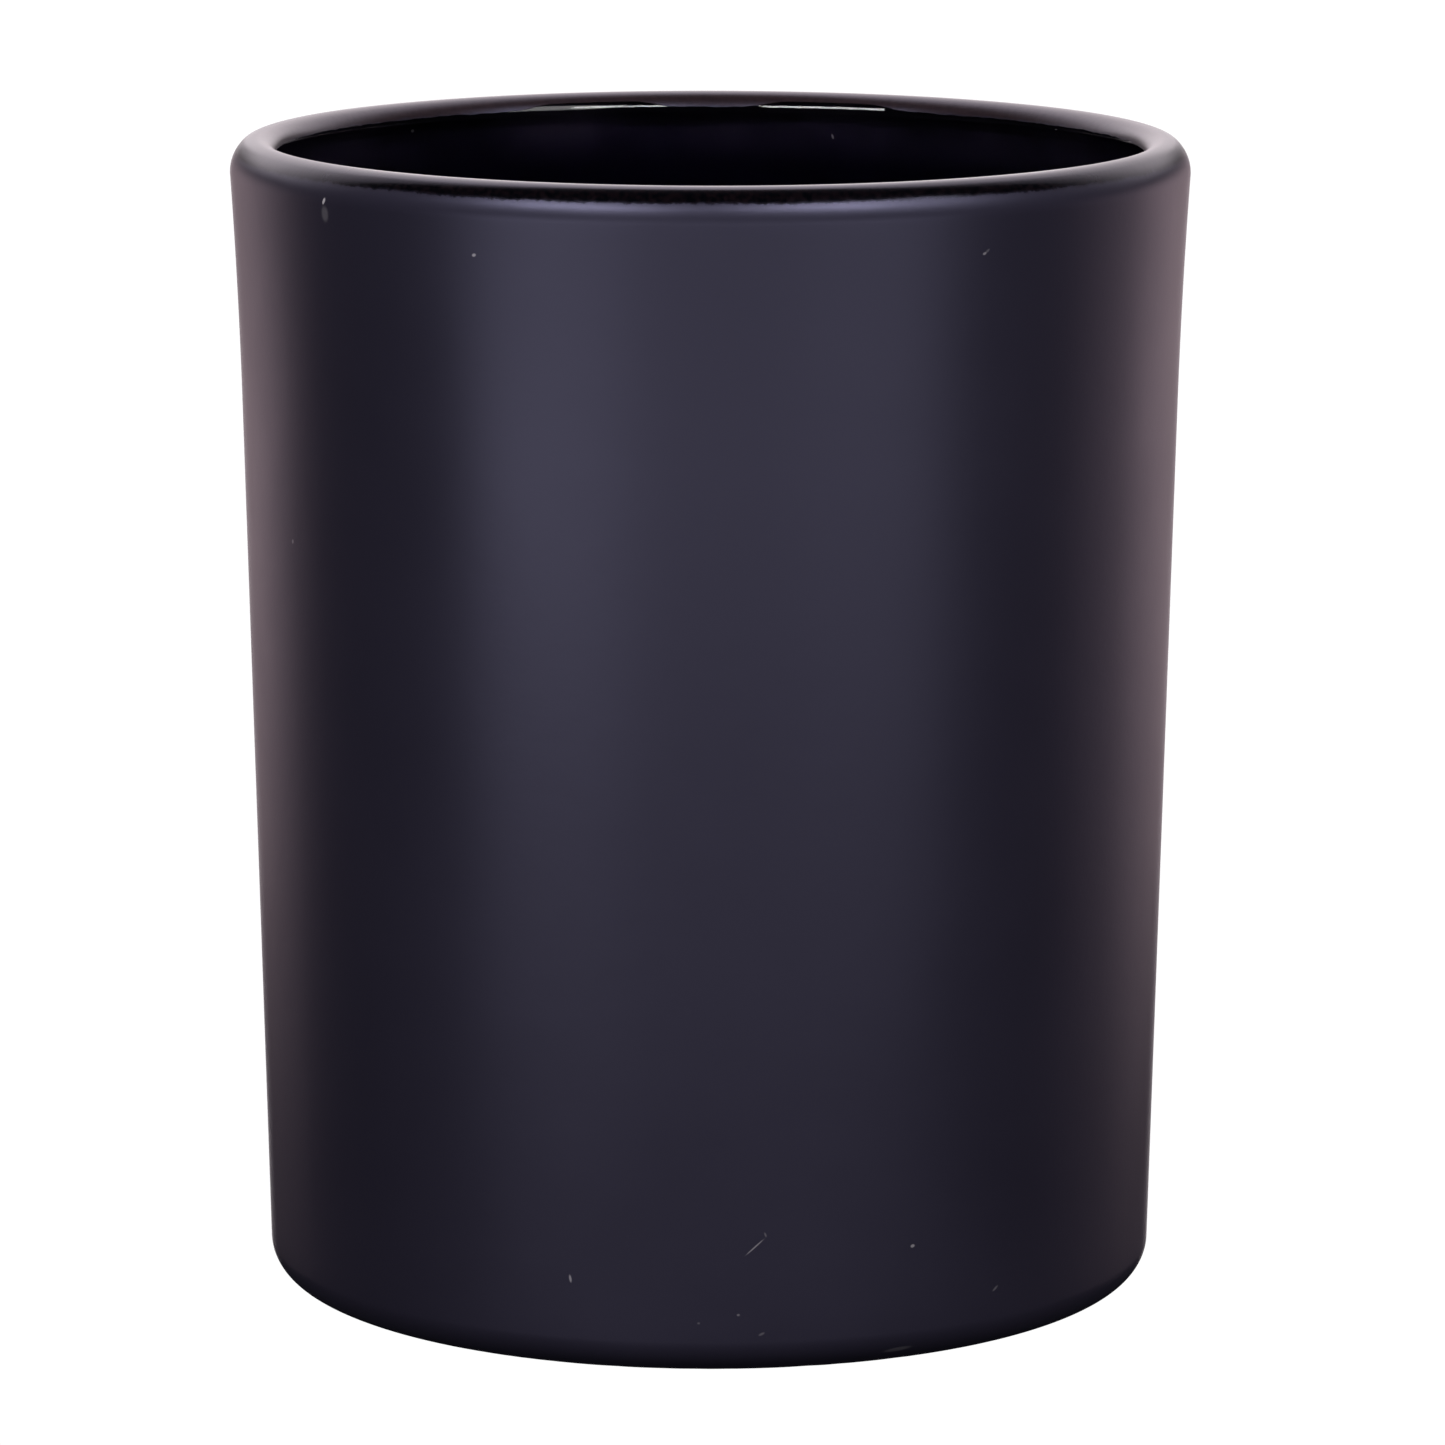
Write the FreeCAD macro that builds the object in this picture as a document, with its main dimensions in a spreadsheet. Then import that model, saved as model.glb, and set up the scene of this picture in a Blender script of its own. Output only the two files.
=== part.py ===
import FreeCAD, Part

import math
import os

import Sketcher

# Empty candle jar: a clear pressed glass tumbler, sprayed matte black outside.
# Millimetres. Origin at the centre of the circle that the jar stands on, +Z up through the mouth.
# The glass is one body. The lacquer is two: the film over lip, wall and heel, and the island of film
# on the dome under the base. The flat standing ring between them is bare glass.

DOCUMENT = "candle_jar"
SHEET = "dims"
PARTS_FOLDER = "parts"

# Every size is a plain number in the sheet. Radii are measured from the jar's axis, heights from the
# plane that it stands on. Glass sizes leave the film out, and jar_height takes it in.
DIMENSIONS = {
    "jar_height": 100.0,
    "film_thickness": 0.12,
    # Outside of the glass: heel, straight taper, and the slight flare below the lip.
    "heel_round": 3.0,
    "wall_foot_radius": 38.62,
    "flare_start_radius": 40.43,
    "flare_start_height": 77.0,
    "flare_round": 520.0,
    # Lip: one small round inside its crest, and two outside that run into the flare.
    "lip_inner_round": 1.7,
    "lip_crest_round": 1.6,
    "lip_shoulder_round": 3.2,
    # Inside of the glass: cylindrical mouth band, tapered wall, rounded corner and flat floor.
    "mouth_radius": 37.5,
    "mouth_band_bottom": 86.0,
    "inner_foot_radius": 35.6,
    "inner_corner_round": 6.0,
    "floor_height": 9.0,
    # Underside: a flat standing ring round a shallow dome.
    "ring_inner_radius": 32.5,
    "dome_rise": 2.0,
    # Where the films stop: this far down inside the lip, and this high above the standing plane.
    "film_lip_lap": 0.9,
    "film_ground_gap": 0.1,
}

# Sketcher's numbers for the points of an edge, and for the sketch's own origin.
START = 1
END = 2
CENTRE = 3
ORIGIN = (-1, 1)
HORIZONTAL_AXIS = -1
VERTICAL_AXIS = -2

# Where the lip's two outer rounds meet, in the first guess that the solver starts from.
LIP_TURN_DEG = 45.0
# How far round the heel its film reaches, in the same guess.
FILM_HEEL_TURN_DEG = 70.0


def make_sheet(document):
    """The spreadsheet of driving dimensions, one alias to a row."""
    sheet = document.addObject("Spreadsheet::Sheet", SHEET)
    for row, (alias, value) in enumerate(DIMENSIONS.items(), start=1):
        sheet.set(f"A{row}", alias)
        sheet.set(f"B{row}", str(value))
        sheet.setAlias(f"B{row}", alias)
    document.recompute()
    return sheet


def polar(centre, radius, degrees):
    """The point at this angle on a circle, measured from +X towards +Z."""
    turn = math.radians(degrees)
    return centre[0] + radius * math.cos(turn), centre[1] + radius * math.sin(turn)


class HalfSection:
    """Half of a turned piece's section, sketched on its body's XZ plane: X is radius, Y is height.

    Constraints are gathered while the edges are drawn and handed to the solver together, so that it
    starts from the drawn shape.
    """

    def __init__(self, body, name):
        plane = next(o for o in body.Origin.OriginFeatures if o.Role == "XZ_Plane")
        self.sketch = body.newObject("Sketcher::SketchObject", name)
        self.sketch.AttachmentSupport = [(plane, "")]
        self.sketch.MapMode = "FlatFace"
        self.constraints = []
        self.bindings = {}

    def line(self, start, end):
        """Draws a straight edge and returns its number."""
        points = [FreeCAD.Vector(x, y, 0) for x, y in (start, end)]
        return self.sketch.addGeometry(Part.LineSegment(*points), False)

    def arc(self, centre, radius, from_deg, to_deg):
        """Draws an arc, always anticlockwise, and returns its number."""
        circle = Part.Circle(FreeCAD.Vector(*centre, 0), FreeCAD.Vector(0, 0, 1), radius)
        turn = math.radians(from_deg), math.radians(to_deg)
        return self.sketch.addGeometry(Part.ArcOfCircle(circle, *turn), False)

    def rule(self, kind, *references):
        """Adds a geometric constraint, such as Horizontal or a Tangent between two ends."""
        self.constraints.append(Sketcher.Constraint(kind, *references))

    def size(self, name, kind, references, guess, expression):
        """Adds a named dimension and binds it to the sheet."""
        self.bindings[name] = (len(self.constraints), expression)
        self.constraints.append(Sketcher.Constraint(kind, *references, guess))

    def radius(self, name, edge, guess, expression):
        self.size(name, "Radius", (edge,), guess, expression)

    def across(self, name, edge, point, guess, expression):
        """Fixes a point's distance from the axis."""
        self.size(name, "DistanceX", (*ORIGIN, edge, point), guess, expression)

    def up(self, name, edge, point, guess, expression):
        """Fixes a point's height above the standing plane."""
        self.size(name, "DistanceY", (*ORIGIN, edge, point), guess, expression)

    def on_axis(self, edge, point):
        """Puts a point on the jar's axis."""
        self.rule("PointOnObject", edge, point, VERTICAL_AXIS)

    def solve(self):
        """Hands the constraints over, names the dimensions and binds them to the sheet."""
        self.sketch.addConstraint(self.constraints)
        for name, (number, expression) in self.bindings.items():
            self.sketch.renameConstraint(number, name)
            self.sketch.setExpression(f"Constraints.{name}", expression)
        if self.sketch.solve() != 0 or not self.sketch.FullyConstrained:
            raise RuntimeError(f"{self.sketch.Label} isn't fully constrained")


def draw_outside(section, prefix, film):
    """The jar's outside from lip crest to heel, over the glass (film 0) or over its film.

    Returns the numbers of the crest and heel arcs. Rounds and radii grow by the film's thickness,
    and the hollow flare's round shrinks by it.
    """
    size = DIMENSIONS
    more = f" + {SHEET}.film_thickness" if film else ""
    less = f" - {SHEET}.film_thickness" if film else ""
    top = f"{SHEET}.jar_height" + ("" if film else f" - {SHEET}.film_thickness")

    crest_round = size["lip_crest_round"] + film
    shoulder_round = size["lip_shoulder_round"] + film
    flare_round = size["flare_round"] - film
    heel_round = size["heel_round"] + film
    lip_top = size["jar_height"] - size["film_thickness"] + film
    crest_radius = size["mouth_radius"] + size["lip_inner_round"]
    wall_top = size["flare_start_radius"] + film, size["flare_start_height"]
    wall_foot = size["wall_foot_radius"] + film, size["heel_round"]
    lean = math.degrees(math.atan2(wall_top[0] - wall_foot[0], wall_top[1] - wall_foot[1]))

    crest_centre = crest_radius, lip_top - crest_round
    shoulder_centre = polar(crest_centre, crest_round - shoulder_round, LIP_TURN_DEG)
    flare_centre = polar(wall_top, flare_round, -lean)
    flare_rise = shoulder_centre[1] - flare_centre[1]
    flare_end = 180.0 - math.degrees(math.asin(flare_rise / flare_round))
    heel_centre = wall_foot[0] - heel_round, size["heel_round"]

    crest = section.arc(crest_centre, crest_round, LIP_TURN_DEG, 90.0)
    shoulder = section.arc(shoulder_centre, shoulder_round, flare_end - 180.0, LIP_TURN_DEG)
    flare = section.arc(flare_centre, flare_round, flare_end, 180.0 - lean)
    wall = section.line(wall_top, wall_foot)
    heel = section.arc(heel_centre, heel_round, -FILM_HEEL_TURN_DEG, -lean)

    section.rule("Tangent", crest, START, shoulder, END)
    section.rule("Tangent", shoulder, START, flare, START)
    section.rule("Tangent", flare, END, wall, START)
    section.rule("Tangent", wall, END, heel, END)
    section.rule("Vertical", crest, CENTRE, crest, END)

    named = f"{SHEET}.mouth_radius + {SHEET}.lip_inner_round"
    section.across(prefix + "_crest_radius", crest, END, crest_radius, named)
    section.up(prefix + "_crest_height", crest, END, lip_top, top)
    for edge, name, guess, change in (
        (crest, "lip_crest_round", crest_round, more),
        (shoulder, "lip_shoulder_round", shoulder_round, more),
        (flare, "flare_round", flare_round, less),
        (heel, "heel_round", heel_round, more),
    ):
        section.radius(f"{prefix}_{name}", edge, guess, f"{SHEET}.{name}{change}")
    for point, name in ((START, "flare_start_radius"), (END, "wall_foot_radius")):
        guess = size[name] + film
        section.across(f"{prefix}_{name}", wall, point, guess, f"{SHEET}.{name}{more}")
    height = size["flare_start_height"]
    section.up(prefix + "_flare_height", wall, START, height, f"{SHEET}.flare_start_height")
    height = size["heel_round"]
    section.up(prefix + "_heel_height", heel, CENTRE, height, f"{SHEET}.heel_round")
    return crest, heel


def draw_lip_inside(section, prefix, crest, film, to_deg):
    """The lip's inner round, from the crest down towards the mouth. Returns its number."""
    round_inside = DIMENSIONS["lip_inner_round"] + film
    lip_top = DIMENSIONS["jar_height"] - DIMENSIONS["film_thickness"] + film
    crest_radius = DIMENSIONS["mouth_radius"] + DIMENSIONS["lip_inner_round"]
    inside = section.arc((crest_radius, lip_top - round_inside), round_inside, 90.0, to_deg)
    section.rule("Tangent", inside, START, crest, END)
    more = f" + {SHEET}.film_thickness" if film else ""
    expression = f"{SHEET}.lip_inner_round{more}"
    section.radius(prefix + "_lip_inner_round", inside, round_inside, expression)
    return inside


def draw_glass(section):
    """The whole glass half section: outside, lip, mouth, inner wall, floor, ring and dome."""
    size = DIMENSIONS
    crest, heel = draw_outside(section, "glass", 0.0)
    lip_inside = draw_lip_inside(section, "glass", crest, 0.0, 180.0)

    mouth_top = size["jar_height"] - size["film_thickness"] - size["lip_inner_round"]
    mouth_foot = size["mouth_radius"], size["mouth_band_bottom"]
    corner_round = size["inner_corner_round"]
    inner_foot = size["inner_foot_radius"], size["floor_height"] + corner_round
    corner_centre = inner_foot[0] - corner_round, inner_foot[1]
    floor_middle = 0.0, size["floor_height"]
    ring_inner = size["ring_inner_radius"], 0.0
    dome_top = 0.0, size["dome_rise"]
    dome_round = (ring_inner[0] ** 2 + dome_top[1] ** 2) / (2.0 * dome_top[1])
    dome_centre = 0.0, dome_top[1] - dome_round
    dome_from = math.degrees(math.acos(ring_inner[0] / dome_round))

    mouth = section.line((size["mouth_radius"], mouth_top), mouth_foot)
    inner_wall = section.line(mouth_foot, inner_foot)
    corner = section.arc(corner_centre, corner_round, -90.0, 0.0)
    floor = section.line((corner_centre[0], size["floor_height"]), floor_middle)
    axis = section.line(floor_middle, dome_top)
    dome = section.arc(dome_centre, dome_round, dome_from, 90.0)
    ring = section.line(ring_inner, (size["wall_foot_radius"] - size["heel_round"], 0.0))

    section.rule("Tangent", lip_inside, END, mouth, START)
    section.rule("Vertical", mouth)
    section.rule("Coincident", mouth, END, inner_wall, START)
    section.rule("Tangent", inner_wall, END, corner, END)
    section.rule("Tangent", corner, START, floor, START)
    section.rule("Horizontal", floor)
    section.on_axis(floor, END)
    section.rule("Coincident", floor, END, axis, START)
    section.rule("Coincident", axis, END, dome, END)
    section.on_axis(dome, END)
    section.on_axis(dome, CENTRE)
    section.rule("Coincident", dome, START, ring, START)
    section.rule("Tangent", ring, END, heel, START)
    section.rule("Horizontal", ring)

    section.up("mouth_band_bottom", mouth, END, mouth_foot[1], f"{SHEET}.mouth_band_bottom")
    section.across("inner_foot", inner_wall, END, inner_foot[0], f"{SHEET}.inner_foot_radius")
    section.radius("inner_corner", corner, corner_round, f"{SHEET}.inner_corner_round")
    section.up("floor_height", floor, END, floor_middle[1], f"{SHEET}.floor_height")
    section.across("ring_inner", ring, START, ring_inner[0], f"{SHEET}.ring_inner_radius")
    section.up("dome_rise", dome, END, dome_top[1], f"{SHEET}.dome_rise")


def close_film(section, inner, outer, point):
    """A film's cut edge: a short line square to its two faces, aimed at their shared centre."""
    geometry = section.sketch.Geometry
    ends = [geometry[edge].StartPoint if point == START else geometry[edge].EndPoint
            for edge in (inner, outer)]
    edge = section.line(*((end.x, end.y) for end in ends))
    section.rule("Coincident", edge, START, inner, point)
    section.rule("Coincident", edge, END, outer, point)
    section.rule("PointOnObject", inner, CENTRE, edge)
    return edge


def draw_wall_film(section):
    """The film's half section: glass side and open side, from inside the lip to the heel."""
    size = DIMENSIONS
    film = size["film_thickness"]
    lap = size["film_lip_lap"]
    lip_end = 180.0 - math.degrees(math.asin(1.0 - lap / size["lip_inner_round"]))
    glass_crest, glass_heel = draw_outside(section, "glass", 0.0)
    glass_lip = draw_lip_inside(section, "glass", glass_crest, 0.0, lip_end)
    open_crest, open_heel = draw_outside(section, "open", film)
    open_lip = draw_lip_inside(section, "open", open_crest, film, lip_end)
    close_film(section, glass_lip, open_lip, END)
    close_film(section, glass_heel, open_heel, START)

    lip_edge_height = size["jar_height"] - film - lap
    drop = f"{SHEET}.jar_height - {SHEET}.film_thickness - {SHEET}.film_lip_lap"
    section.up("lip_edge_height", glass_lip, END, lip_edge_height, drop)
    gap = size["film_ground_gap"]
    section.up("heel_edge_height", open_heel, START, gap, f"{SHEET}.film_ground_gap")


def draw_base_film(section):
    """Half section of the film on the dome, which stops short of the standing ring."""
    size = DIMENSIONS
    film = size["film_thickness"]
    gap = size["film_ground_gap"]
    ring_inner = size["ring_inner_radius"]
    rise = size["dome_rise"]
    dome_round = (ring_inner**2 + rise**2) / (2.0 * rise)
    centre = 0.0, rise - dome_round
    edge_deg = math.degrees(math.asin((gap - centre[1]) / (dome_round - film)))

    glass_side = section.arc(centre, dome_round, edge_deg, 90.0)
    open_side = section.arc(centre, dome_round - film, edge_deg, 90.0)
    axis = section.line((0.0, rise), (0.0, rise - film))
    rim = section.sketch.addGeometry(Part.Point(FreeCAD.Vector(ring_inner, 0, 0)), True)
    close_film(section, glass_side, open_side, START)

    section.rule("Coincident", axis, START, glass_side, END)
    section.rule("Coincident", axis, END, open_side, END)
    section.on_axis(glass_side, CENTRE)
    section.on_axis(glass_side, END)
    section.on_axis(open_side, END)
    section.rule("Coincident", open_side, CENTRE, glass_side, CENTRE)
    section.rule("PointOnObject", rim, START, HORIZONTAL_AXIS)
    section.rule("PointOnObject", rim, START, glass_side)
    section.across("ring_inner", rim, START, ring_inner, f"{SHEET}.ring_inner_radius")
    section.up("dome_rise", glass_side, END, rise, f"{SHEET}.dome_rise")
    under = f"{SHEET}.dome_rise - {SHEET}.film_thickness"
    section.up("film_apex", open_side, END, rise - film, under)
    section.up("rim_edge_height", open_side, START, gap, f"{SHEET}.film_ground_gap")


def turned_body(document, label, draw):
    """A body turned once round the jar's axis from the half section that draw sketches."""
    body = document.addObject("PartDesign::Body", label)
    body.Label = label
    section = HalfSection(body, label + "_section")
    draw(section)
    section.solve()
    document.recompute()
    turned = body.newObject("PartDesign::Revolution", label + "_turned")
    turned.Profile = section.sketch
    turned.ReferenceAxis = (section.sketch, ["V_Axis"])
    turned.Angle = 360.0
    body.Tip = turned
    body.Placement = FreeCAD.Placement()
    document.recompute()
    return body


def check(document, bodies):
    """Stops on any failed object or unsound shape before a file is written."""
    for item in document.Objects:
        if "Invalid" in item.State or "Error" in item.State:
            raise RuntimeError(f"{item.Label}: {item.State}")
    for body in bodies:
        if body.Shape.isNull() or not body.Shape.isValid() or len(body.Shape.Solids) != 1:
            raise RuntimeError(f"{body.Label}: not one valid solid")


def main():
    document = FreeCAD.newDocument(DOCUMENT)
    make_sheet(document)
    bodies = [
        turned_body(document, "glass_jar", draw_glass),
        turned_body(document, "wall_coating", draw_wall_film),
        turned_body(document, "base_coating", draw_base_film),
    ]
    check(document, bodies)
    os.makedirs(PARTS_FOLDER, exist_ok=True)
    for body in bodies:
        body.Shape.exportStep(os.path.join(PARTS_FOLDER, body.Label + ".step"))
        box = body.Shape.optimalBoundingBox(False, False)
        print(body.Label, f"volume {body.Shape.Volume:.1f} mm3, height {box.ZMin:.3f} to {box.ZMax:.3f},",
              f"widest radius {box.XMax:.3f}")


main()
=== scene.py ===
"""Empty candle jar: a clear glass tumbler under a satin black lacquer film.

The jar stands on the origin and opens along +Z. Sizes are millimetres, as in the CAD source, until
a mesh is made in metres.
"""
import math

import bpy
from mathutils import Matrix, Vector, noise


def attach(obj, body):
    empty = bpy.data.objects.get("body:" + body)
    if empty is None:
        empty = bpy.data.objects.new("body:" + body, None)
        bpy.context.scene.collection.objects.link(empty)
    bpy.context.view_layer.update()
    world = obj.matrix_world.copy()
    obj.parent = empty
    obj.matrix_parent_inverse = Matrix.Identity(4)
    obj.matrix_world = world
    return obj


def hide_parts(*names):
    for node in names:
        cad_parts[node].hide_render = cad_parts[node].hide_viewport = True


MM = 0.001

# The jar's sizes, the same as the CAD part's.
JAR_HEIGHT = 100.0
FILM = 0.12
HEEL_ROUND = 3.0
WALL_FOOT_RADIUS = 38.62
FLARE_START = (40.43, 77.0)
FLARE_ROUND = 520.0
LIP_INNER_ROUND = 1.7
LIP_CREST_ROUND = 1.6
LIP_SHOULDER_ROUND = 3.2
MOUTH_RADIUS = 37.5
MOUTH_BAND_BOTTOM = 86.0
INNER_FOOT_RADIUS = 35.6
INNER_CORNER_ROUND = 6.0
FLOOR_HEIGHT = 9.0
RING_INNER_RADIUS = 32.5
DOME_RISE = 2.0
FILM_GROUND_GAP = 0.1

# How far the film runs down inside the lip, and how much less it does in two gaps at the back.
# Angles are degrees from +X.
FILM_EDGE_LAP = 1.22
FILM_GAP_RISE = 0.50
FILM_GAPS_DEG = (73.5, 106.5)
FILM_GAP_HALF_DEG = 9.0

# The film's glass side lies this far into the glass, so that no light slips between the two.
FILM_BITE = 0.02
SEGMENTS = 480

# The lip's film. It is glossy above this height and matte again on the side that faces the axis,
# between these radii. Its top is between these heights. The gloss wears off towards both ends of X,
# between these shares of the radius.
GLOSS_EDGE_HEIGHT = 98.72
FACING_IN_RADII = (38.8, 39.4)
LIP_TOP_HEIGHTS = (99.25, 99.60)
WORN_SHARES = (0.62, 0.90)

# Over these heights the film's glass side turns from deep black to a faint glow: painted light,
# lighter towards the mouth where light falls into the jar.
PAINTED_GLOW_HEIGHTS = (92.5, 97.8)

# Principled shader settings.
LACQUER_IOR = 1.5
LACQUER_SPECULAR_WALL = 0.74
LACQUER_SPECULAR_LIP = 0.42
LACQUER_SPECULAR_TINT = (0.68, 0.67, 1.0, 1.0)
GLASS_IOR = 1.5

# Scuffs and dust on the lacquer. Azimuth in degrees from the camera's side, height, half length and
# half width in millimetres, tilt in degrees, strength.
MARK_RADIUS = 39.0
MARK_COLOUR = (0.55, 0.52, 0.55, 1.0)
MARKS = [
    (-50.7, 97.25, 0.34, 0.16, 62.0, 0.95),
    (-50.6, 96.20, 0.75, 0.48, 92.0, 0.13),
    (-27.9, 94.00, 0.20, 0.15, 20.0, 0.60),
    (33.0, 93.95, 0.20, 0.12, 15.0, 0.36),
    (33.4, 94.15, 0.28, 0.12, 40.0, 0.12),
    (-61.0, 67.60, 0.22, 0.16, 75.0, 0.35),
    (-17.4, 8.00, 0.38, 0.12, 100.0, 0.40),
    (26.0, 10.30, 0.22, 0.16, 10.0, 0.40),
    (38.6, 5.40, 0.40, 0.12, 35.0, 0.14),
    (5.6, 11.15, 1.10, 0.07, 42.0, 0.32),
    (6.9, 12.20, 0.25, 0.09, 110.0, 0.14),
    (3.6, 5.30, 0.16, 0.12, 0.0, 0.18),
    (-1.3, 4.60, 0.14, 0.10, 0.0, 0.12),
    (6.5, 3.60, 0.32, 0.12, 25.0, 0.12),
    (24.5, 1.30, 1.40, 0.22, 4.0, 0.10),
]
# The same for specks behind the glass.
MARKS_BEHIND = [
    (163.7, 95.9, 0.26, 0.10, 70.0, 0.5),
    (-137.1, 97.3, 0.22, 0.15, 0.0, 0.35),
]

# Camera: sensor and lens in millimetres, place in metres.
SENSOR = 36.0
LENS = 184.4
CAMERA_PLACE = (0.0, -0.6375, 0.1668)
CAMERA_PITCH_DEG = 79.483
CAMERA_TURN_DEG = -0.100
CAMERA_ROLL_DEG = 0.08

# Studio lights: azimuth and elevation in degrees, then distance, width and height in metres, then
# radiance. Azimuth 0 is the camera's side and positive azimuths are to its right.
LIGHT_AIM = Vector((0.0, 0.0, 0.05))
SOFTBOX_COLOUR = (1.0, 0.985, 1.0)
SOFTBOXES = [
    ("softbox_left", -35.0, 37.0, 0.90, 0.50, 0.18, 12.5),
    ("softbox_right", 27.0, 39.0, 0.90, 0.40, 0.15, 12.0),
    ("softbox_right_wide", 50.0, 38.0, 0.89, 0.50, 0.36, 3.2),
    ("low_strip_left", -37.0, -2.5, 0.45, 0.30, 0.09, 2.8),
    ("low_strip_middle", 0.0, -2.5, 0.45, 0.30, 0.09, 1.45),
    ("low_strip_right", 37.0, -2.5, 0.45, 0.30, 0.09, 1.8),
]
# The white ring round the back of the jar: azimuths in degrees, the edges' heights in metres, colour
# and radiance. Its foot is a shade warmer than the rest, except straight behind the jar.
BACKDROP_RADIUS = 1.4
PANEL_STEPS = 6
FOOT_COLOUR = (1.0, 0.76, 0.80)
WHITE_COLOUR = (1.0, 0.91, 0.94)
FOOT_EDGES = (-0.26, 0.16)
SHEET_EDGES = (0.4, 3.2)
PANELS = [
    ("foot_right_side", 100.0, 124.0, FOOT_EDGES, FOOT_COLOUR, 0.5),
    ("foot_right_front", 124.0, 136.0, FOOT_EDGES, FOOT_COLOUR, 1.2),
    ("foot_right", 136.0, 150.0, FOOT_EDGES, FOOT_COLOUR, 0.95),
    ("foot_right_back", 150.0, 165.0, FOOT_EDGES, FOOT_COLOUR, 0.7),
    ("foot_left_back", 195.0, 210.0, FOOT_EDGES, FOOT_COLOUR, 0.7),
    ("foot_left", 210.0, 224.0, FOOT_EDGES, FOOT_COLOUR, 0.95),
    ("foot_left_front", 224.0, 236.0, FOOT_EDGES, FOOT_COLOUR, 0.85),
    ("foot_left_side", 236.0, 248.0, FOOT_EDGES, FOOT_COLOUR, 0.3),
    ("sheet_right_side", 112.0, 124.0, SHEET_EDGES, WHITE_COLOUR, 0.45),
    ("sheet_right_front", 124.0, 136.0, SHEET_EDGES, WHITE_COLOUR, 1.15),
    ("sheet_right", 136.0, 165.0, SHEET_EDGES, WHITE_COLOUR, 2.0),
    ("sheet_back", 165.0, 195.0, (0.9, 3.2), WHITE_COLOUR, 2.7),
    ("foot_back", 165.0, 195.0, (-0.42, 0.9), WHITE_COLOUR, 2.1),
    ("sheet_left", 195.0, 224.0, SHEET_EDGES, WHITE_COLOUR, 2.5),
    ("sheet_left_front", 224.0, 236.0, SHEET_EDGES, WHITE_COLOUR, 1.4),
    ("sheet_left_side", 236.0, 248.0, SHEET_EDGES, WHITE_COLOUR, 0.85),
]

# The white table top, in metres, and its glow in the open and in the jar's own shade.
TABLE_RADIUS = 6.0
SHADE_RADIUS = 0.0355
TABLE_HEIGHT = -0.00002
TABLE_STEPS = 96
TABLE_GLOW = 1.05
SHADE_GLOW = 0.01
PURE_WHITE = (1.0, 1.0, 1.0)
ROOM_COLOUR = (0.010, 0.010, 0.013, 1.0)
CLEAR_WHITE = (1.05, 1.05, 1.05, 1.0)


# ---------------------------------------------------------------- sections

def arc(centre, radius, start_deg, end_deg, steps):
    """Points on an arc, both ends included."""
    points = []
    for step in range(steps + 1):
        turn = math.radians(start_deg + (end_deg - start_deg) * step / steps)
        points.append((centre[0] + radius * math.cos(turn), centre[1] + radius * math.sin(turn)))
    return points


def run(start, end, steps):
    """Points on a straight line, the first end left out."""
    return [
        tuple(a + (b - a) * step / steps for a, b in zip(start, end))
        for step in range(1, steps + 1)
    ]


def bearing(start, end):
    """The direction from one point to another, in degrees from +X."""
    return math.degrees(math.atan2(end[1] - start[1], end[0] - start[0]))


def shoulder_centre(crest_centre, flare_centre):
    """Centre of the lip's outer round: it runs inside the crest's round and outside the flare's."""
    near = LIP_SHOULDER_ROUND - LIP_CREST_ROUND
    far = LIP_SHOULDER_ROUND + FLARE_ROUND
    gap = math.dist(crest_centre, flare_centre)
    along = (near**2 - far**2 + gap**2) / (2.0 * gap)
    aside = math.sqrt(near**2 - along**2)
    ux = (flare_centre[0] - crest_centre[0]) / gap
    uy = (flare_centre[1] - crest_centre[1]) / gap
    found = [
        (crest_centre[0] + along * ux - side * aside * uy,
         crest_centre[1] + along * uy + side * aside * ux)
        for side in (-1.0, 1.0)
    ]
    return min(found, key=lambda point: point[0] + point[1])


CREST_CENTRE = (MOUTH_RADIUS + LIP_INNER_ROUND, JAR_HEIGHT - FILM - LIP_CREST_ROUND)
INNER_LIP_CENTRE = (CREST_CENTRE[0], JAR_HEIGHT - FILM - LIP_INNER_ROUND)
HEEL_CENTRE = (WALL_FOOT_RADIUS - HEEL_ROUND, HEEL_ROUND)
LEAN = math.degrees(math.atan2(FLARE_START[0] - WALL_FOOT_RADIUS, FLARE_START[1] - HEEL_ROUND))
FLARE_CENTRE = (FLARE_START[0] + FLARE_ROUND * math.cos(math.radians(LEAN)),
                FLARE_START[1] - FLARE_ROUND * math.sin(math.radians(LEAN)))
SHOULDER_CENTRE = shoulder_centre(CREST_CENTRE, FLARE_CENTRE)
CREST_TURN = bearing(SHOULDER_CENTRE, CREST_CENTRE)
FLARE_TURN = bearing(SHOULDER_CENTRE, FLARE_CENTRE)
DOME_ROUND = (RING_INNER_RADIUS**2 + DOME_RISE**2) / (2.0 * DOME_RISE)
DOME_CENTRE = (0.0, DOME_RISE - DOME_ROUND)


def outside(skin, heel_end_deg):
    """The jar's outside from heel to lip crest, this far outside the glass."""
    foot_turn = -LEAN
    heel = arc(HEEL_CENTRE, HEEL_ROUND + skin, heel_end_deg, foot_turn, 18)
    wall_top = (FLARE_START[0] + skin, FLARE_START[1])
    wall = run(heel[-1], wall_top, 44)
    flare = arc(FLARE_CENTRE, FLARE_ROUND - skin, 180.0 - LEAN, 180.0 + FLARE_TURN, 22)
    shoulder = arc(SHOULDER_CENTRE, LIP_SHOULDER_ROUND + skin, FLARE_TURN, CREST_TURN, 22)
    crest = arc(CREST_CENTRE, LIP_CREST_ROUND + skin, CREST_TURN, 90.0, 18)
    return heel + wall + flare[1:] + shoulder[1:] + crest[1:]


def lip_inside(skin, end_deg):
    """From the crest over the lip's inner round, the crest itself left out."""
    return arc(INNER_LIP_CENTRE, LIP_INNER_ROUND + skin, 90.0, end_deg, 16)[1:]


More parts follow.
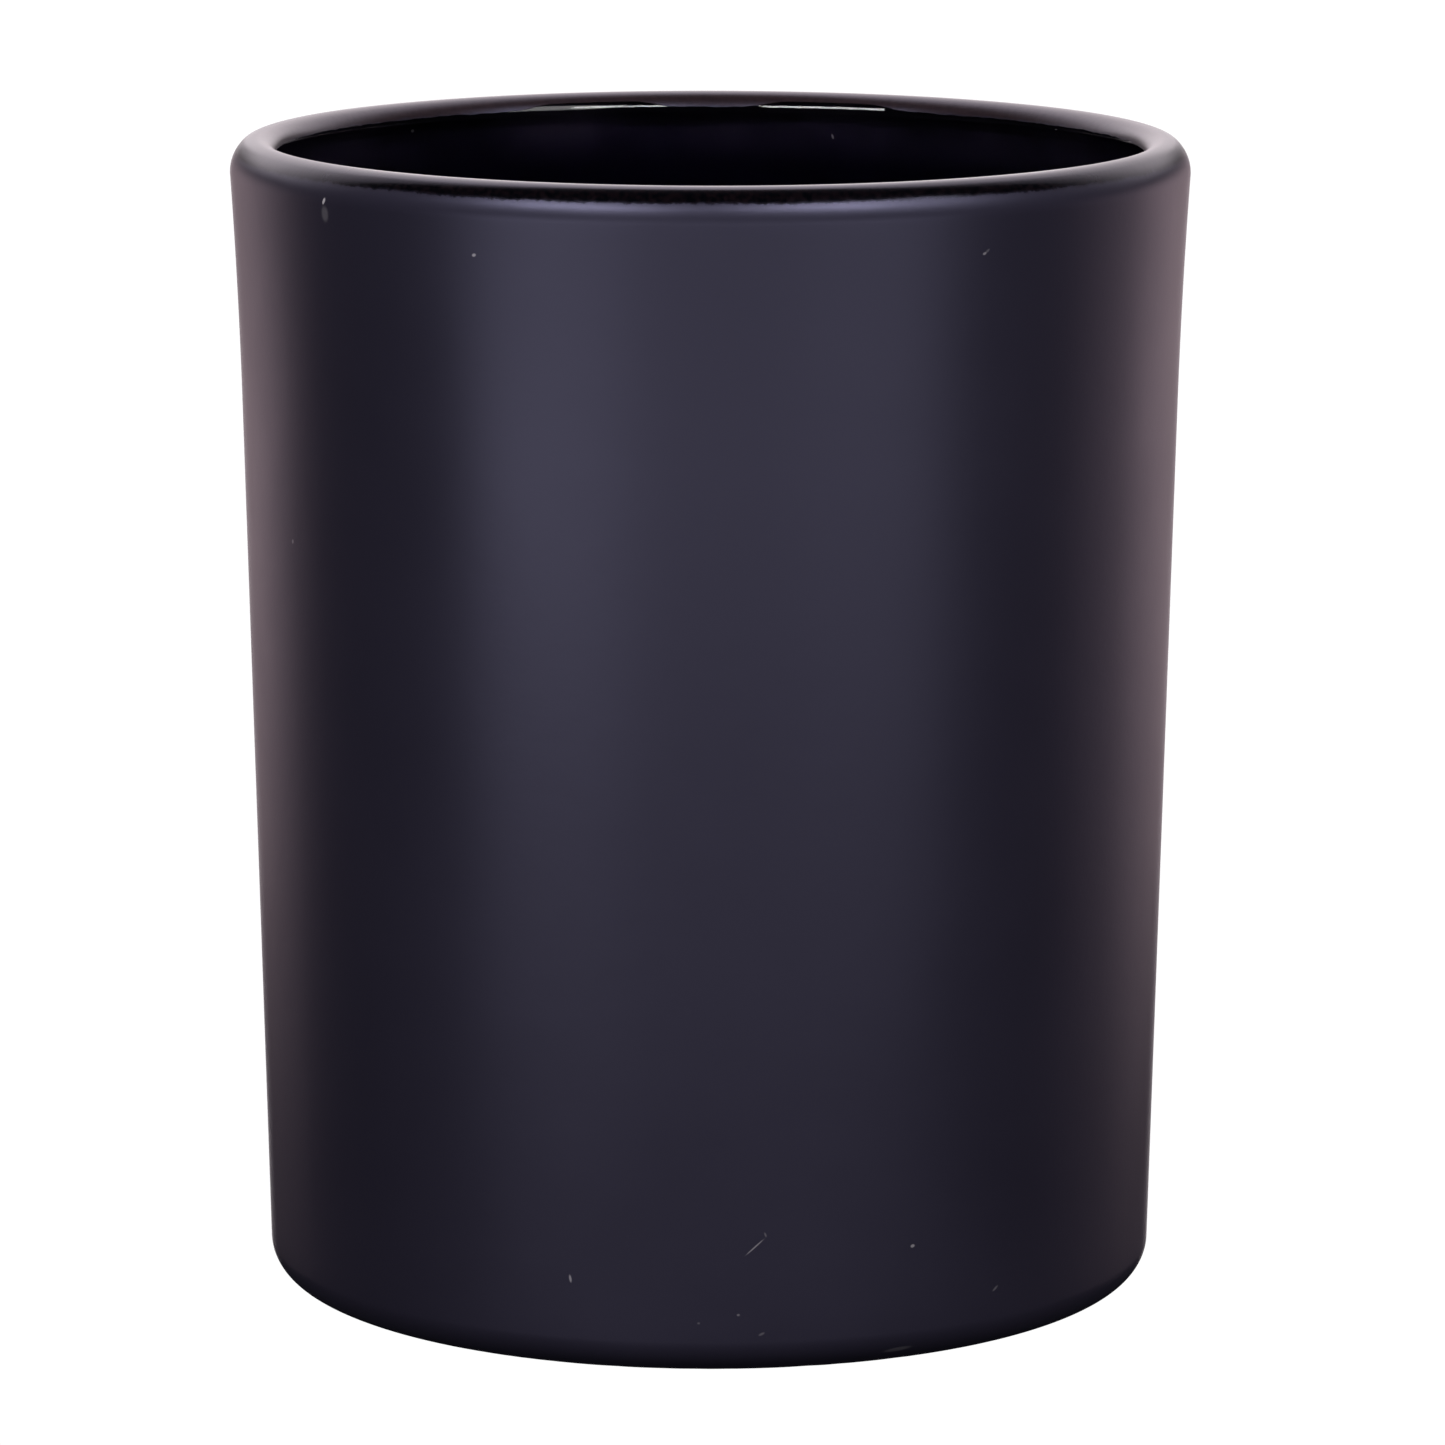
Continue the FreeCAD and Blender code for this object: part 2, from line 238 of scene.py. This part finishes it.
def glass_section():
    """Half section of the glass, from the dome's middle out, up, over the lip and down inside."""
    dome_edge = bearing(DOME_CENTRE, (RING_INNER_RADIUS, 0.0))
    dome = arc(DOME_CENTRE, DOME_ROUND, 90.0, dome_edge, 24)
    ring = run(dome[-1], (HEEL_CENTRE[0], 0.0), 6)
    corner_centre = (INNER_FOOT_RADIUS - INNER_CORNER_ROUND, FLOOR_HEIGHT + INNER_CORNER_ROUND)
    mouth_foot = (MOUTH_RADIUS, MOUTH_BAND_BOTTOM)
    lip = lip_inside(0.0, 180.0)
    mouth = run(lip[-1], mouth_foot, 8)
    wall = run(mouth_foot, (INNER_FOOT_RADIUS, corner_centre[1]), 40)
    corner = arc(corner_centre, INNER_CORNER_ROUND, 0.0, -90.0, 20)[1:]
    floor = run(corner[-1], (0.0, FLOOR_HEIGHT), 24)
    return dome + ring + outside(0.0, -90.0)[1:] + lip + mouth + wall + corner + floor


def wall_film_section(turn):
    """Half section of the film over heel, wall and lip at this angle round the jar.

    The film ends unevenly inside the lip, with two gaps at the back, and just above the ring.
    """
    around = Vector((math.cos(turn), math.sin(turn), 0.0))
    off_gap = min(abs(math.degrees(turn) - gap) for gap in FILM_GAPS_DEG) / FILM_GAP_HALF_DEG
    gap = 1.0 / (1.0 + off_gap**8)
    wander = 0.06 * noise.noise(around * 24.0) + 0.07 * noise.noise(around * 110.0)
    lap = FILM_EDGE_LAP - gap * FILM_GAP_RISE + (1.0 - 0.8 * gap) * wander
    lip_end = 180.0 - math.degrees(math.asin(1.0 - lap / LIP_INNER_ROUND))
    heel_wander = 0.10 * abs(noise.noise(around * 15.0 + Vector((0.0, 0.0, 7.0))))
    lift = FILM_GROUND_GAP + heel_wander
    heel_end = -math.degrees(math.asin((HEEL_ROUND - lift) / (HEEL_ROUND + FILM)))
    open_side = outside(FILM, heel_end) + lip_inside(FILM, lip_end)
    glass_side = outside(-FILM_BITE, heel_end) + lip_inside(-FILM_BITE, lip_end)
    return open_side + glass_side[::-1]


def base_film_section():
    """Half section of the film on the dome under the base."""
    edge = math.degrees(math.asin((FILM_GROUND_GAP - DOME_CENTRE[1]) / (DOME_ROUND - FILM)))
    open_side = arc(DOME_CENTRE, DOME_ROUND - FILM, 90.0, edge, 40)
    glass_side = arc(DOME_CENTRE, DOME_ROUND + FILM_BITE, edge, 90.0, 40)
    return open_side + glass_side


# ---------------------------------------------------------------- meshes

def turned(name, section_at, closed):
    """A turned mesh. section_at gives the half section at an angle, anticlockwise from the axis.

    A closed section is a loop of its own; an open one starts and ends on the axis.
    """
    rings = [section_at(math.tau * s / SEGMENTS) for s in range(SEGMENTS)]
    count = len(rings[0])
    first, last = (0, count) if closed else (1, count - 1)
    vertices = []
    for s, ring in enumerate(rings):
        turn = math.tau * s / SEGMENTS
        for radius, height in ring[first:last]:
            vertices.append((radius * math.cos(turn) * MM, radius * math.sin(turn) * MM, height * MM))
    row = last - first
    faces = []
    for s in range(SEGMENTS):
        here, there = s * row, (s + 1) % SEGMENTS * row
        for i in range(row if closed else row - 1):
            j = (i + 1) % row
            faces.append((here + i, there + i, there + j, here + j))
    if not closed:
        start, end = len(vertices), len(vertices) + 1
        vertices += [(0.0, 0.0, rings[0][0][1] * MM), (0.0, 0.0, rings[0][-1][1] * MM)]
        for s in range(SEGMENTS):
            here, there = s * row, (s + 1) % SEGMENTS * row
            faces.append((start, there, here))
            faces.append((end, here + row - 1, there + row - 1))
    mesh = bpy.data.meshes.new(name)
    mesh.from_pydata(vertices, [], faces)
    mesh.update()
    mesh.polygons.foreach_set("use_smooth", [True] * len(faces))
    mesh.set_sharp_from_angle(angle=math.radians(40.0))
    piece = bpy.data.objects.new(name, mesh)
    bpy.context.scene.collection.objects.link(piece)
    return piece


# ---------------------------------------------------------------- materials

class Nodes:
    """Short calls that build a material's node tree."""

    def __init__(self, name):
        self.material = bpy.data.materials.new(name)
        self.material.use_nodes = True
        self.tree = self.material.node_tree
        self.shader = self.tree.nodes["Principled BSDF"]
        self.place = self.add("ShaderNodeTexCoord").outputs["Object"]
        self.axes = self.add("ShaderNodeSeparateXYZ", {0: self.place}).outputs

    def add(self, kind, inputs=None, **settings):
        node = self.tree.nodes.new(kind)
        for key, value in settings.items():
            setattr(node, key, value)
        for key, value in (inputs or {}).items():
            self.feed(node.inputs[key], value)
        return node

    def feed(self, socket, value):
        if isinstance(value, bpy.types.NodeSocket):
            self.tree.links.new(value, socket)
        else:
            socket.default_value = value

    def along(self, axis):
        """One coordinate of the place, in millimetres."""
        return self.math("MULTIPLY", self.axes[axis], 1.0 / MM)

    def math(self, operation, a, b=0.0, c=0.0):
        node = self.add("ShaderNodeMath", {0: a, 1: b, 2: c}, operation=operation)
        return node.outputs[0]

    def noise(self, scale, detail=2.0, rough=0.5, seed=0.0):
        inputs = {"Vector": self.place, "W": seed, "Scale": scale, "Detail": detail,
                  "Roughness": rough}
        node = self.add("ShaderNodeTexNoise", inputs, noise_dimensions="4D")
        return node.outputs["Fac"]

    def remap(self, value, low, high, to_low, to_high, smooth=False):
        inputs = {"Value": value, "From Min": low, "From Max": high, "To Min": to_low,
                  "To Max": to_high}
        kind = "SMOOTHSTEP" if smooth else "LINEAR"
        return self.add("ShaderNodeMapRange", inputs, interpolation_type=kind).outputs["Result"]

    def blend(self, factor, a, b):
        node = self.add("ShaderNodeMix", data_type="RGBA")
        self.feed(node.inputs["Factor"], factor)
        self.feed(node.inputs[6], a)
        self.feed(node.inputs[7], b)
        return node.outputs[2]

    def mix_value(self, factor, a, b):
        node = self.add("ShaderNodeMix", data_type="FLOAT")
        for socket, value in zip(node.inputs[0:1] + node.inputs[2:4], (factor, a, b)):
            self.feed(socket, value)
        return node.outputs[0]

    def ellipse(self, place, azimuth, height, long, short, tilt, strength):
        """A soft spot: its place on the wall, half length and half width in mm, tilt and strength."""
        centre = (math.radians(azimuth) * MARK_RADIUS, height, 0.0)
        inputs = {"Vector": place, "Location": centre, "Rotation": (0.0, 0.0, math.radians(tilt)),
                  "Scale": (long, short, 1.0)}
        local = self.add("ShaderNodeMapping", inputs, vector_type="TEXTURE").outputs[0]
        away = self.add("ShaderNodeVectorMath", {0: local}, operation="LENGTH").outputs["Value"]
        return self.remap(away, 0.5, 1.15, strength, 0.0, True)

    def bump(self, height, strength, distance, normal=None):
        inputs = {"Height": height, "Strength": strength, "Distance": distance}
        if normal is not None:
            inputs["Normal"] = normal
        return self.add("ShaderNodeBump", inputs).outputs["Normal"]


def lacquer_material(marks):
    """Satin black lacquer: matte on the wall, glossy over the lip, with a ragged edge between.

    The marks are small pale scuffs and dust specks, each a soft-edged ellipse on the wall.
    """
    n = Nodes("satin_black_lacquer")
    height = n.along("Z")

    coarse = n.noise(420.0, 2.0, 0.5, 1.0)
    fine = n.noise(1500.0, 3.0, 0.65, 1.5)
    edge = n.math("MULTIPLY_ADD", coarse, 0.3, GLOSS_EDGE_HEIGHT - 0.15)
    edge = n.math("MULTIPLY_ADD", fine, 0.5, n.math("SUBTRACT", edge, 0.25))
    lip = n.remap(n.math("SUBTRACT", height, edge), -0.20, 0.20, 0.0, 1.0, True)
    radius = radius_of(n)
    facing_in = n.remap(radius, *FACING_IN_RADII, 1.0, 0.0, True)
    top = n.remap(height, *LIP_TOP_HEIGHTS, 0.0, 1.0, True)

    cloud = n.noise(45.0, 4.0, 0.55, 2.0)
    wall_rough = n.remap(cloud, 0.3, 0.7, 0.34, 0.39)
    mottle = n.noise(2200.0, 2.0, 0.5, 3.0)
    share = n.math("DIVIDE", n.math("ABSOLUTE", n.along("X")), radius)
    worn = n.remap(share, *WORN_SHARES, 0.0, 1.0, True)
    band_rough = n.mix_value(worn, n.remap(mottle, 0.35, 0.7, 0.12, 0.20), 0.34)
    lip_rough = n.mix_value(top, band_rough, n.mix_value(worn, 0.22, 0.34))
    lip_rough = n.mix_value(facing_in, lip_rough, 0.33)
    n.feed(n.shader.inputs["Roughness"], n.mix_value(lip, wall_rough, lip_rough))

    wall_colour = n.blend(cloud, (0.0155, 0.0138, 0.0240, 1.0), (0.0205, 0.0182, 0.0310, 1.0))
    lip_colour = n.blend(n.remap(mottle, 0.40, 0.65, 0.0, 1.0),
                         (0.0006, 0.0008, 0.0014, 1.0), (0.0042, 0.0021, 0.0027, 1.0))
    inner_colour = n.blend(mottle, (0.0060, 0.0036, 0.0040, 1.0), (0.0340, 0.0185, 0.0205, 1.0))
    lip_colour = n.blend(facing_in, lip_colour, inner_colour)
    colour = n.blend(lip, wall_colour, lip_colour)
    place = unrolled(n)
    for mark in marks:
        colour = n.blend(n.ellipse(place, *mark), colour, MARK_COLOUR)
    n.feed(n.shader.inputs["Base Color"], colour)

    grain = n.noise(2600.0, 2.0, 0.5, 4.0)
    peel = n.noise(420.0, 2.0, 0.5, 5.0)
    normal = n.bump(grain, 0.25, 0.00002)
    normal = n.bump(peel, 0.20, 0.00005, normal)
    n.feed(n.shader.inputs["Normal"], normal)
    n.shader.inputs["IOR"].default_value = LACQUER_IOR
    specular = n.mix_value(lip, LACQUER_SPECULAR_WALL, LACQUER_SPECULAR_LIP)
    n.feed(n.shader.inputs["Specular IOR Level"], specular)
    n.shader.inputs["Specular Tint"].default_value = LACQUER_SPECULAR_TINT
    return n.material


def radius_of(n):
    """Distance from the jar's axis, in millimetres."""
    squares = [n.math("MULTIPLY", n.along(axis), n.along(axis)) for axis in "XY"]
    return n.math("SQRT", n.math("ADD", *squares))


def unrolled(n):
    """The wall laid flat: millimetres round the jar from the camera's side, then height."""
    turn = n.math("ARCTAN2", n.along("X"), n.math("MULTIPLY", n.along("Y"), -1.0))
    around = n.math("MULTIPLY", turn, MARK_RADIUS)
    height = n.along("Z")
    return n.add("ShaderNodeCombineXYZ", {0: around, 1: height}).outputs[0]


def film_back_material(marks):
    """The film seen through the glass: pigment wetted by the glass, without a gloss of its own."""
    n = Nodes("lacquer_against_glass")
    cloud = n.noise(60.0, 3.0, 0.5, 6.0)
    height = n.along("Z")
    patches = n.remap(cloud, 0.36, 0.60, 0.3, 1.0, True)
    # Painted light: the film behind the glass is coloured lighter towards the mouth, in patches, as a
    # glow of light falling into the jar.
    painted_glow = n.math("MULTIPLY", n.remap(height, *PAINTED_GLOW_HEIGHTS, 0.0, 1.0, True), patches)
    colour = n.blend(painted_glow, (0.0024, 0.0018, 0.0078, 1.0), (0.0320, 0.0255, 0.0470, 1.0))
    place = unrolled(n)
    for mark in marks:
        colour = n.blend(n.ellipse(place, *mark), colour, MARK_COLOUR)
    n.feed(n.shader.inputs["Base Color"], colour)
    n.feed(n.shader.inputs["Roughness"], n.remap(cloud, 0.3, 0.7, 0.55, 0.7))
    n.shader.inputs["Specular IOR Level"].default_value = 0.0
    return n.material


def glass_material():
    """Clear soda glass with a faint waviness."""
    n = Nodes("clear_soda_glass")
    wave = n.noise(60.0, 2.0, 0.5, 7.0)
    n.feed(n.shader.inputs["Base Color"],
           n.blend(wave, (0.95, 0.985, 0.97, 1.0), (0.985, 0.995, 0.99, 1.0)))
    n.feed(n.shader.inputs["Roughness"], n.remap(wave, 0.3, 0.7, 0.0, 0.02))
    n.feed(n.shader.inputs["Normal"], n.bump(wave, 0.05, 0.0001))
    n.shader.inputs["Transmission Weight"].default_value = 1.0
    n.shader.inputs["IOR"].default_value = GLASS_IOR
    return n.material


# ---------------------------------------------------------------- object

def build_jar():
    glass = turned("jar_glass", lambda turn: glass_section(), False)
    wall = turned("jar_wall_lacquer", wall_film_section, True)
    base = turned("jar_base_lacquer", lambda turn: base_film_section(), False)
    glass.data.materials.append(glass_material())
    open_side, glass_side = lacquer_material(MARKS), film_back_material(MARKS_BEHIND)
    for film, faces_glass in ((wall, wall_face_on_glass), (base, base_face_on_glass)):
        film.data.materials.append(open_side)
        film.data.materials.append(glass_side)
        for face in film.data.polygons:
            face.material_index = 1 if faces_glass(face) else 0
    for piece, node, slot in ((glass, "glass_jar", "clear_glass"),
                              (wall, "wall_coating", "matte_lacquer"),
                              (base, "base_coating", "matte_lacquer")):
        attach(piece, "root")
        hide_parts(node)


def base_face_on_glass(face):
    """True for a face of the base film that looks up into the glass."""
    return face.normal.z > 0.5


def wall_face_on_glass(face):
    """True for a face of the wall film that looks back into the glass."""
    radius = math.hypot(face.center.x, face.center.y) / MM
    height = face.center.z / MM
    outward = face.center.x * face.normal.x + face.center.y * face.normal.y
    if height > CREST_CENTRE[1]:
        middle = CREST_CENTRE if radius > CREST_CENTRE[0] else INNER_LIP_CENTRE
        sideways = (radius - middle[0]) * outward / (radius * MM)
        return sideways + (height - middle[1]) * face.normal.z < 0.0
    return outward < 0.0


# ---------------------------------------------------------------- studio

def emission(name, colour, strength):
    """A plain glowing material for the stage."""
    material = bpy.data.materials.new(name)
    material.use_nodes = True
    tree = material.node_tree
    tree.nodes.clear()
    glow = tree.nodes.new("ShaderNodeEmission")
    glow.inputs["Color"].default_value = (*colour, 1.0)
    glow.inputs["Strength"].default_value = strength
    out = tree.nodes.new("ShaderNodeOutputMaterial")
    tree.links.new(glow.outputs[0], out.inputs["Surface"])
    return material


def build_floor():
    """A lit white table top, without light in the jar's own shade."""
    vertices = []
    for radius in (SHADE_RADIUS, TABLE_RADIUS):
        for s in range(TABLE_STEPS):
            turn = math.tau * s / TABLE_STEPS
            vertices.append((radius * math.cos(turn), radius * math.sin(turn), TABLE_HEIGHT))
    vertices.append((0.0, 0.0, TABLE_HEIGHT))
    lit, shade = [], []
    for s in range(TABLE_STEPS):
        after = (s + 1) % TABLE_STEPS
        lit.append((s, after, TABLE_STEPS + after, TABLE_STEPS + s))
        shade.append((2 * TABLE_STEPS, after, s))
    mesh = bpy.data.meshes.new("floor")
    mesh.from_pydata(vertices, [], lit + shade)
    mesh.materials.append(emission("lit_table", PURE_WHITE, TABLE_GLOW))
    mesh.materials.append(emission("shaded_table", PURE_WHITE, SHADE_GLOW))
    for face in mesh.polygons:
        face.material_index = 0 if face.index < len(lit) else 1
    floor = bpy.data.objects.new("floor", mesh)
    bpy.context.scene.collection.objects.link(floor)
    floor.visible_glossy = False
    floor.visible_diffuse = False


def softbox(name, azimuth, elevation, distance, width, height, radiance):
    """A soft rectangular light aimed at the jar. Azimuth 0 is the camera's side, positive right."""
    data = bpy.data.lights.new(name, "AREA")
    data.shape = "RECTANGLE"
    data.size = width
    data.size_y = height
    data.energy = radiance * width * height * math.pi
    data.color = SOFTBOX_COLOUR
    light = bpy.data.objects.new(name, data)
    a, e = math.radians(azimuth), math.radians(elevation)
    away = Vector((math.sin(a) * math.cos(e), -math.cos(a) * math.cos(e), math.sin(e)))
    light.location = LIGHT_AIM + away * distance
    light.rotation_mode = "QUATERNION"
    light.rotation_quaternion = away.to_track_quat("Z", "Y")
    light.visible_camera = False
    bpy.context.scene.collection.objects.link(light)


def build_world():
    """Pure white round the camera's view, and dim in reflections."""
    world = bpy.data.worlds.new("studio")
    world.use_nodes = True
    tree = world.node_tree
    background = tree.nodes["Background"]
    path = tree.nodes.new("ShaderNodeLightPath")
    mix = tree.nodes.new("ShaderNodeMix")
    mix.data_type = "RGBA"
    mix.inputs[6].default_value = ROOM_COLOUR
    mix.inputs[7].default_value = CLEAR_WHITE
    tree.links.new(path.outputs["Is Camera Ray"], mix.inputs["Factor"])
    tree.links.new(mix.outputs[2], background.inputs["Color"])
    bpy.context.scene.world = world


def panel(name, from_deg, to_deg, edges, colour, radiance):
    """A glowing upright panel, part of a ring round the jar. Azimuths run as for a softbox."""
    mesh = bpy.data.meshes.new(name)
    vertices = []
    for s in range(PANEL_STEPS + 1):
        turn = math.radians(from_deg + (to_deg - from_deg) * s / PANEL_STEPS)
        foot = (BACKDROP_RADIUS * math.sin(turn), -BACKDROP_RADIUS * math.cos(turn))
        vertices += [(*foot, height) for height in edges]
    faces = [(2 * s, 2 * s + 1, 2 * s + 3, 2 * s + 2) for s in range(PANEL_STEPS)]
    mesh.from_pydata(vertices, [], faces)
    mesh.materials.append(emission(name, colour, radiance))
    sheet = bpy.data.objects.new(name, mesh)
    bpy.context.scene.collection.objects.link(sheet)
    sheet.visible_camera = False


def build_studio():
    build_world()
    build_floor()
    for row in PANELS:
        panel(*row)
    for row in SOFTBOXES:
        softbox(*row)
    bpy.context.scene.view_settings.view_transform = "Standard"


def build_camera():
    data = bpy.data.cameras.new("camera")
    data.sensor_width = SENSOR
    data.lens = LENS
    data.clip_start = 0.01
    camera = bpy.data.objects.new("camera", data)
    camera.location = CAMERA_PLACE
    turn = (math.radians(CAMERA_PITCH_DEG), 0.0, math.radians(CAMERA_TURN_DEG))
    camera.rotation_euler = turn
    camera.rotation_euler.rotate_axis("Z", math.radians(CAMERA_ROLL_DEG))
    bpy.context.scene.collection.objects.link(camera)
    bpy.context.scene.camera = camera


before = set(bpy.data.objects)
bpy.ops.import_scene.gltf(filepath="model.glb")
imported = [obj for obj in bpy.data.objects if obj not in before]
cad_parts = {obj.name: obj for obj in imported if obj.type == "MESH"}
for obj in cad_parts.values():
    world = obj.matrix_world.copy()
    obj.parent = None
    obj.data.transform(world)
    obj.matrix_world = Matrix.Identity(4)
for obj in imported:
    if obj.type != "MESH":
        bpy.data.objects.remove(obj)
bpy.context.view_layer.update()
build_jar()
build_studio()
build_camera()
